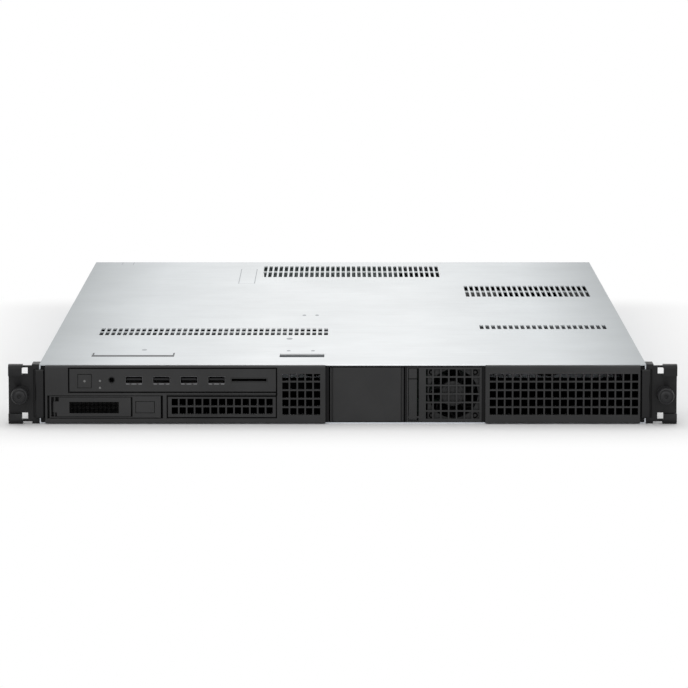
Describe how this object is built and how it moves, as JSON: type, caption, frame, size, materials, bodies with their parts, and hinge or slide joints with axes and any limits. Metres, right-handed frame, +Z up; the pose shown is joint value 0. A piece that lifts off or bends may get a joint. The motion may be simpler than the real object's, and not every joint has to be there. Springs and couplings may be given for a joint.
{
  "type": "rack server",
  "caption": "Rack-mount server of one unit: sheet chassis with vented cover, charcoal front with grilles, drive carrier, power supply, fans and boards",
  "frame": {"origin": "middle of the footprint, on the surface it rests on", "axes": "+X to the right seen from the front, +Y from the front to the rear, +Z up"},
  "size_m": [0.4826, 0.7034, 0.0432],
  "materials": {
    "zinc_sheet": "galvanised sheet, faint brushing",
    "black_steel": "black powder coat",
    "bezel_plastic": "charcoal moulded plastic, fine texture",
    "panel_plastic": "charcoal moulded plastic",
    "black_plastic": "black moulded plastic",
    "bright_metal": "tinned connector shell",
    "aluminium": "bare aluminium",
    "circuit_board": "green solder mask",
    "light_pipe": "clear moulded plastic",
    "screw_steel": "zinc plated steel",
    "brass": "turned brass",
    "slate_plastic": "slate blue-grey plastic",
    "cable_rubber": "black cable jacket",
    "drive_case": "blasted aluminium case",
    "module_ceramic": "black component packages"
  },
  "bodies": {
    "chassis": {"chassis_tray": "zinc_sheet", "front_frame": "zinc_sheet", "rear_panel": "zinc_sheet", "rail_studs": "screw_steel", "right_ear": "black_steel", "left_ear": "black_steel", "ear_screws": "screw_steel", "left_bezel": "bezel_plastic", "right_bezel": "bezel_plastic", "io_panel": "panel_plastic", "usb_ports": "bright_metal", "headset_jack": "black_plastic", "card_reader": "bright_metal", "io_board": "circuit_board", "light_pipes": "light_pipe", "psu_cage": "zinc_sheet", "power_backplane": "circuit_board", "fan_wall": "zinc_sheet", "fan_frames": "black_plastic", "drive_cage": "zinc_sheet", "drive_backplane": "circuit_board", "system_board": "circuit_board", "board_standoffs": "brass", "cpu": "bright_metal", "cpu_heatsink": "aluminium", "dimm_slots": "black_plastic", "memory_modules": "circuit_board", "coin_cell": "bright_metal", "rear_io_ports": "bright_metal", "ac_inlets": "black_plastic", "power_cables": "cable_rubber", "expansion_card": "circuit_board", "riser_cards": "circuit_board", "graphics_board": "circuit_board", "graphics_shroud": "black_plastic", "slot_brackets": "zinc_sheet"},
    "cover": {"top_cover": "zinc_sheet"},
    "latch": {"cover_latch": "slate_plastic"},
    "supply": {"psu_case": "zinc_sheet", "psu_face": "black_steel", "psu_fan_frame": "black_plastic", "psu_board": "circuit_board"},
    "supply_rotor": {"psu_fan_rotor": "black_plastic"},
    "supply_lever": {"psu_handle": "black_plastic"},
    "supply_release": {"psu_release": "panel_plastic"},
    "bay_blank": {"psu_bay_blank": "bezel_plastic"},
    "carrier": {"drive_carrier": "black_plastic", "solid_state_drive": "drive_case"},
    "carrier_lever": {"carrier_handle": "panel_plastic"},
    "carrier_button": {"carrier_release": "panel_plastic"},
    "button": {"power_button": "panel_plastic"},
    "left_screw": {"left_thumbscrew": "black_steel"},
    "right_screw": {"right_thumbscrew": "black_steel"},
    "blower": {"blower_rotor": "black_plastic"},
    "rotor_1": {"fan_rotor_1": "black_plastic"},
    "rotor_2": {"fan_rotor_2": "black_plastic"},
    "rotor_3": {"fan_rotor_3": "black_plastic"},
    "rotor_4": {"fan_rotor_4": "black_plastic"},
    "rotor_5": {"fan_rotor_5": "black_plastic"},
    "rotor_6": {"fan_rotor_6": "black_plastic"}
  },
  "joints": [
    {"name": "cover_slide", "type": "slide", "parent": "chassis", "child": "cover", "axis": [0, 1, 0], "range_m": [0, 0.7]},
    {"name": "latch_slide", "type": "slide", "parent": "cover", "child": "latch", "axis": [0, 1, 0], "range_m": [0, 0.005], "stiffness_N_per_m": 300, "springref_m": -0.002},
    {"name": "supply_slide", "type": "slide", "parent": "chassis", "child": "supply", "axis": [0, -1, 0], "range_m": [0, 0.234]},
    {"name": "supply_lever_hinge", "type": "hinge", "parent": "supply", "child": "supply_lever", "pos_m": [0.05065, -0.33625, 0.0046], "axis": [1, 0, 0], "range_deg": [0, 90]},
    {"name": "supply_release_push", "type": "slide", "parent": "supply", "child": "supply_release", "axis": [0, 1, 0], "range_m": [0, 0.002], "stiffness_N_per_m": 400, "springref_m": -0.001},
    {"name": "supply_fan_spin", "type": "hinge", "parent": "supply", "child": "supply_rotor", "pos_m": [0.08, -0.32675, 0.0214], "axis": [0, 1, 0], "continuous": true},
    {"name": "bay_blank_slide", "type": "slide", "parent": "chassis", "child": "bay_blank", "axis": [0, -1, 0], "range_m": [0, 0.045]},
    {"name": "carrier_slide", "type": "slide", "parent": "chassis", "child": "carrier", "axis": [0, -1, 0], "range_m": [0, 0.1152]},
    {"name": "carrier_lever_hinge", "type": "hinge", "parent": "carrier", "child": "carrier_lever", "pos_m": [-0.208, -0.33875, 0.0126], "axis": [0, 0, -1], "range_deg": [0, 60]},
    {"name": "carrier_button_push", "type": "slide", "parent": "carrier", "child": "carrier_button", "axis": [0, 1, 0], "range_m": [0, 0.0015], "stiffness_N_per_m": 400, "springref_m": -0.001},
    {"name": "power_button_push", "type": "slide", "parent": "chassis", "child": "button", "axis": [0, 1, 0], "range_m": [0, 0.001], "stiffness_N_per_m": 500, "springref_m": -0.001},
    {"name": "left_screw_turn", "type": "hinge", "parent": "chassis", "child": "left_screw", "pos_m": [-0.23255, -0.33675, 0.0216], "axis": [0, 1, 0], "continuous": true},
    {"name": "right_screw_turn", "type": "hinge", "parent": "chassis", "child": "right_screw", "pos_m": [0.23255, -0.33675, 0.0216], "axis": [0, 1, 0], "continuous": true},
    {"name": "blower_spin", "type": "hinge", "parent": "chassis", "child": "blower", "pos_m": [0.157, 0.12449, 0.0199], "axis": [0, 0, 1], "continuous": true},
    {"name": "fan_spin_1", "type": "hinge", "parent": "chassis", "child": "rotor_1", "pos_m": [-0.188, -0.08795, 0.021], "axis": [0, 1, 0], "continuous": true},
    {"name": "fan_spin_2", "type": "hinge", "parent": "chassis", "child": "rotor_2", "pos_m": [-0.147, -0.08795, 0.021], "axis": [0, 1, 0], "continuous": true},
    {"name": "fan_spin_3", "type": "hinge", "parent": "chassis", "child": "rotor_3", "pos_m": [-0.106, -0.08795, 0.021], "axis": [0, 1, 0], "continuous": true},
    {"name": "fan_spin_4", "type": "hinge", "parent": "chassis", "child": "rotor_4", "pos_m": [-0.065, -0.08795, 0.021], "axis": [0, 1, 0], "continuous": true},
    {"name": "fan_spin_5", "type": "hinge", "parent": "chassis", "child": "rotor_5", "pos_m": [-0.024, -0.08795, 0.021], "axis": [0, 1, 0], "continuous": true},
    {"name": "fan_spin_6", "type": "hinge", "parent": "chassis", "child": "rotor_6", "pos_m": [0.1594, -0.08795, 0.021], "axis": [0, 1, 0], "continuous": true}
  ]
}
